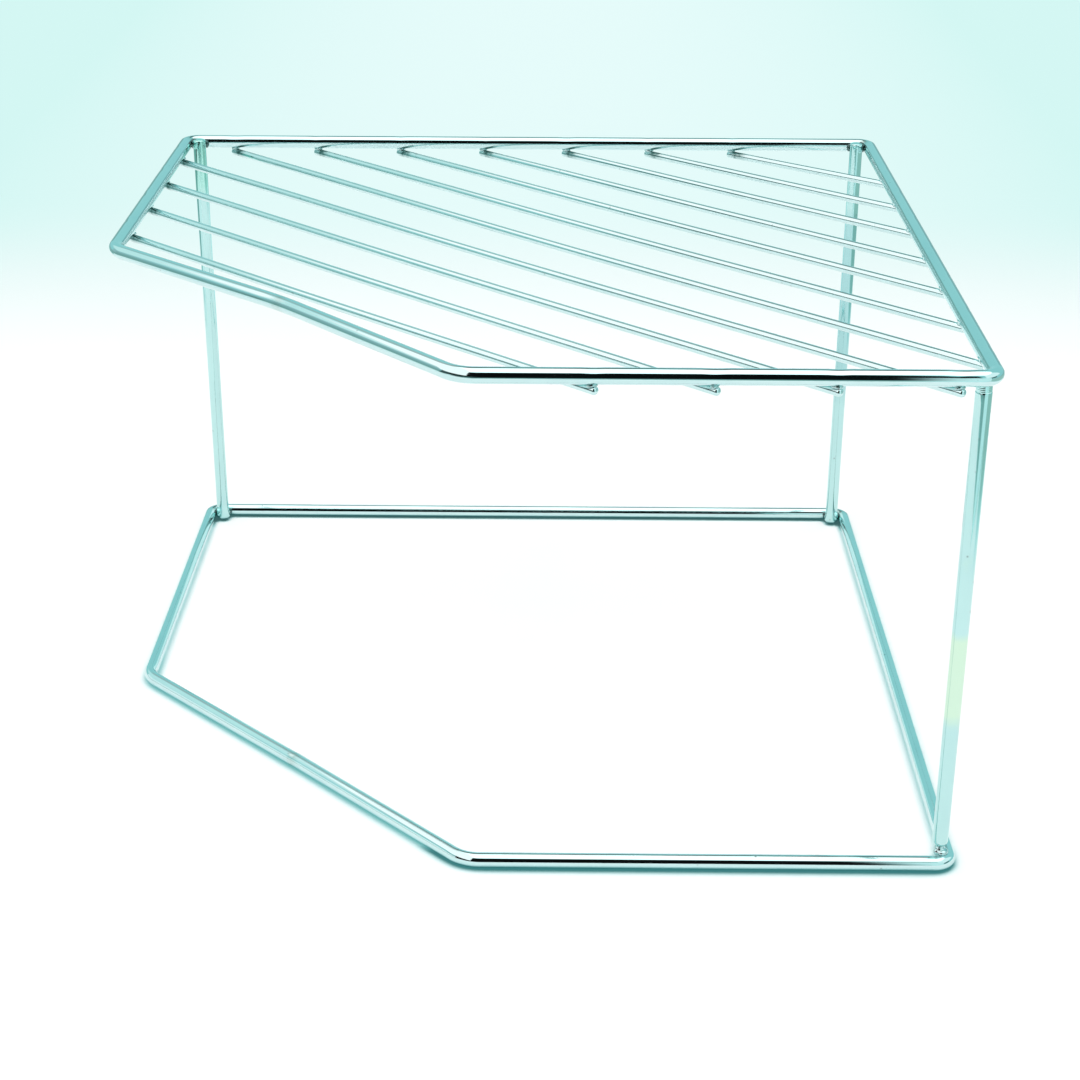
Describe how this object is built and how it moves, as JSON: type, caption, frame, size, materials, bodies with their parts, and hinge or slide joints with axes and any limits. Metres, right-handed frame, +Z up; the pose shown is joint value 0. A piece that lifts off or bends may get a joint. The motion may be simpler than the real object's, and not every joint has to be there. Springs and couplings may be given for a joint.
{
  "type": "corner cabinet rack",
  "caption": "Welded wire corner rack: five-sided upper and lower rings joined by upright legs, with straight shelf wires under the upper ring, to add a raised level in a cabinet corner.",
  "frame": {"origin": "middle of the footprint's bounding square, at floor level, under the lower ring", "axes": "+X to the right along the back bar, +Y to the back of the cabinet, +Z up. The right angle that fits the cabinet's corner is at +X +Y and the diagonal front edge faces -X -Y"},
  "size_m": [0.254, 0.254, 0.152],
  "materials": {
    "ring_chrome": "bright plated wire",
    "leg_chrome": "bright plated wire",
    "shelf_wire_chrome": "bright plated wire",
    "weld_chrome": "plated weld bead"
  },
  "bodies": {
    "root": {"upper_ring": "ring_chrome", "lower_ring": "ring_chrome", "leg_back_left": "leg_chrome", "leg_back_right": "leg_chrome", "leg_front_right": "leg_chrome", "shelf_wire_01": "shelf_wire_chrome", "shelf_wire_02": "shelf_wire_chrome", "shelf_wire_03": "shelf_wire_chrome", "shelf_wire_04": "shelf_wire_chrome", "shelf_wire_05": "shelf_wire_chrome", "shelf_wire_06": "shelf_wire_chrome", "shelf_wire_07": "shelf_wire_chrome", "shelf_wire_08": "shelf_wire_chrome", "shelf_wire_09": "shelf_wire_chrome", "shelf_wire_10": "shelf_wire_chrome", "shelf_wire_11": "shelf_wire_chrome", "weld_back_left_lower": "weld_chrome", "weld_back_left_upper": "weld_chrome", "weld_back_right_lower": "weld_chrome", "weld_back_right_upper": "weld_chrome", "weld_front_right_lower": "weld_chrome", "weld_front_right_upper": "weld_chrome"}
  },
  "joints": []
}
